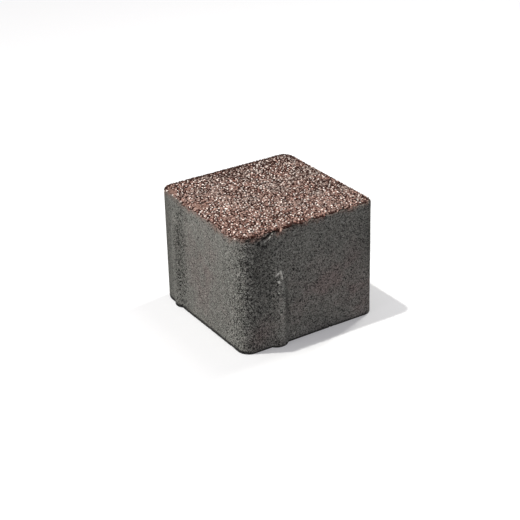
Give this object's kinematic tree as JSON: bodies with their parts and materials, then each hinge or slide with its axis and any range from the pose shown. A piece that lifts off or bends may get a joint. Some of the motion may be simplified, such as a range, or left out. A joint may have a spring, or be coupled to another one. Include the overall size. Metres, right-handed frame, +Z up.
{
  "type": "paving stone",
  "caption": "Square concrete paving stone with rounded upright corners, a washed red stone-chip wearing face, dark grey sides and a half-round spacer nib on each side.",
  "frame": {"origin": "middle of the bed face, on the surface the stone lies on", "axes": "+Z up from the bed face to the wearing face; -Y is the front side, whose nib is nearer its left end; X runs along the front side"},
  "size_m": [0.106, 0.106, 0.08],
  "materials": {
    "concrete": "dark grey moulded concrete, matt, with a washed red stone-chip wearing face"
  },
  "bodies": {
    "root": {"paving_stone": "concrete"}
  },
  "joints": []
}
